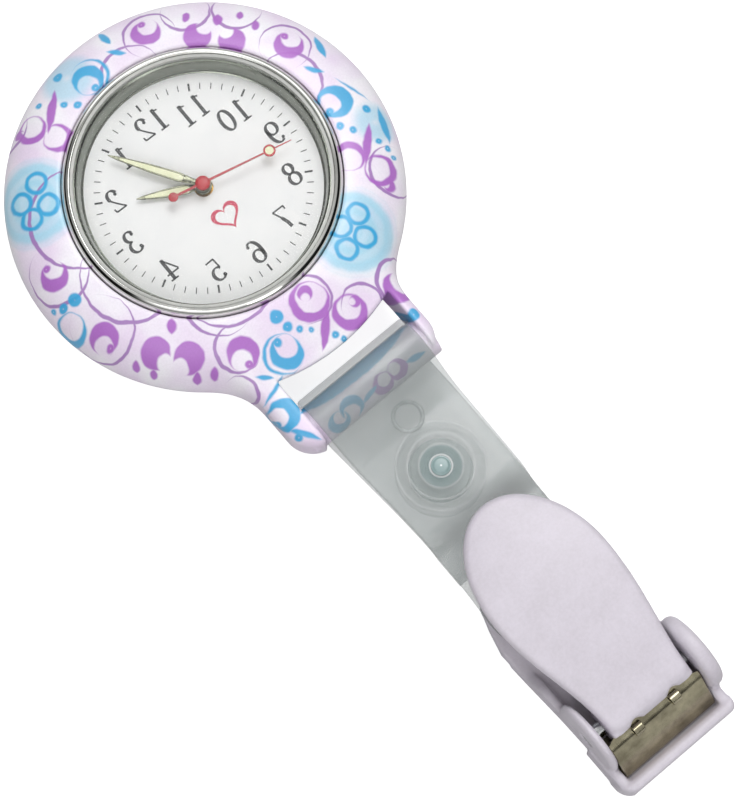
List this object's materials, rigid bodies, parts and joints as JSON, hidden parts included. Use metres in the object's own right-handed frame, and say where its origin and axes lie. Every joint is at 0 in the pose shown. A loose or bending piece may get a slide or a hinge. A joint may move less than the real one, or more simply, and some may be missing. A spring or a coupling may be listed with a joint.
{
  "type": "fob watch",
  "caption": "Round analogue fob watch in a printed soft cover, hung from a folded clear strap that ends in a sprung clip.",
  "frame": {"origin": "on the surface that the watch lies on, below the middle of the box round the whole object", "axes": "+Z out of the dial, +Y from the clip towards twelve o'clock, +X to the right seen from the front"},
  "size_m": [0.04, 0.092, 0.0104],
  "materials": {
    "printed_silicone": "satin, scroll print in lilac and blue",
    "case_steel": "satin",
    "chrome_plate": "polished",
    "crystal_glass": "clear, polished",
    "clear_nylon": "translucent",
    "black_rubber": "matte",
    "dial_paint": "matt white with black print",
    "ivory_plastic": "matt",
    "brass_gilt": "satin",
    "polished_steel": "polished",
    "battery_steel": "satin",
    "board_green": "gloss",
    "soft_iron": "matt",
    "copper_winding": "enamelled",
    "hand_metal": "gloss",
    "hand_red": "gloss",
    "lume": "matt",
    "clear_pvc": "translucent, smooth",
    "snap_plastic": "translucent, smooth",
    "clip_plastic": "satin pale lilac",
    "nickel_spring": "polished"
  },
  "bodies": {
    "watch": {"case_cover": "printed_silicone", "watch_case": "case_steel", "case_back": "case_steel", "back_gasket": "black_rubber", "bezel": "chrome_plate", "crystal": "crystal_glass", "crystal_gasket": "clear_nylon", "dial_flange": "chrome_plate", "dial": "dial_paint", "movement_holder": "ivory_plastic", "main_plate": "brass_gilt", "train_bridge": "brass_gilt", "bridge_screws": "polished_steel", "battery": "battery_steel", "battery_contact": "brass_gilt", "circuit_board": "board_green", "quartz_can": "chrome_plate", "stator": "soft_iron", "coil": "copper_winding", "coil_core": "soft_iron", "stem_tube": "case_steel"},
    "rotor": {"rotor": "polished_steel"},
    "fifth_wheel": {"fifth_wheel": "brass_gilt"},
    "seconds": {"second_wheel": "brass_gilt", "second_hand": "hand_red"},
    "third_wheel": {"third_wheel": "brass_gilt"},
    "minutes": {"centre_wheel": "brass_gilt", "minute_hand": "hand_metal", "minute_lume": "lume"},
    "minute_wheel": {"minute_wheel": "brass_gilt"},
    "hours": {"hour_wheel": "brass_gilt", "hour_hand": "hand_metal", "hour_lume": "lume"},
    "setting_slide": {"setting_lever": "polished_steel"},
    "crown_stem": {"winding_stem": "polished_steel", "crown": "chrome_plate"},
    "strap": {"strap": "clear_pvc", "snap_cap": "snap_plastic", "snap_socket": "snap_plastic", "snap_stud": "snap_plastic", "snap_post_cap": "snap_plastic"},
    "clip": {"clip_base": "clip_plastic", "strap_rivet": "nickel_spring", "pivot_pin": "polished_steel", "clip_spring": "nickel_spring"},
    "lever": {"clip_lever": "clip_plastic"}
  },
  "joints": [
    {"name": "second_spin", "type": "hinge", "parent": "watch", "child": "seconds", "pos_m": [0, 0.026, 0.004], "axis": [0, 0, 1], "continuous": true},
    {"name": "minute_spin", "type": "hinge", "parent": "watch", "child": "minutes", "pos_m": [0, 0.026, 0.004], "axis": [0, 0, 1], "continuous": true},
    {"name": "hour_spin", "type": "hinge", "parent": "watch", "child": "hours", "pos_m": [0, 0.026, 0.0065], "axis": [0, 0, 1], "continuous": true},
    {"name": "rotor_spin", "type": "hinge", "parent": "watch", "child": "rotor", "pos_m": [0.00005, 0.03097, 0.004], "axis": [0, 0, 1], "continuous": true},
    {"name": "fifth_spin", "type": "hinge", "parent": "watch", "child": "fifth_wheel", "pos_m": [0.00079, 0.02894, 0.004], "axis": [0, 0, 1], "continuous": true},
    {"name": "third_spin", "type": "hinge", "parent": "watch", "child": "third_wheel", "pos_m": [-0.00105, 0.02312, 0.004], "axis": [0, 0, 1], "continuous": true},
    {"name": "minute_wheel_spin", "type": "hinge", "parent": "watch", "child": "minute_wheel", "pos_m": [-0.00224, 0.026, 0.0063], "axis": [0, 0, 1], "continuous": true},
    {"name": "crown_pull", "type": "slide", "parent": "watch", "child": "setting_slide", "axis": [-1, 0, 0], "range_m": [0, 0.0005]},
    {"name": "crown_turn", "type": "hinge", "parent": "setting_slide", "child": "crown_stem", "pos_m": [-0.01, 0.026, 0.0045], "axis": [-1, 0, 0], "continuous": true},
    {"name": "strap_swing", "type": "hinge", "parent": "watch", "child": "strap", "pos_m": [0, 0.0009, 0.0046], "axis": [1, 0, 0], "range_deg": [-115, 110]},
    {"name": "clip_swivel", "type": "hinge", "parent": "strap", "child": "clip", "pos_m": [0, -0.0265, 0.00185], "axis": [0, 0, 1], "range_deg": [-20, 20]},
    {"name": "lever_press", "type": "hinge", "parent": "clip", "child": "lever", "pos_m": [0, -0.0392, 0.005], "axis": [-1, 0, 0], "range_deg": [0, 8.5], "stiffness_Nm_per_rad": 0.5, "springref_deg": -8.59, "deforming": ["clip_spring"]}
  ],
  "couplings": [
    {"joint": "minute_spin", "follows": "second_spin", "ratio": 0.016667},
    {"joint": "hour_spin", "follows": "second_spin", "ratio": 0.0013889},
    {"joint": "rotor_spin", "follows": "second_spin", "ratio": 30},
    {"joint": "fifth_spin", "follows": "second_spin", "ratio": -6},
    {"joint": "third_spin", "follows": "second_spin", "ratio": -0.13333},
    {"joint": "minute_wheel_spin", "follows": "second_spin", "ratio": -0.0055556}
  ]
}
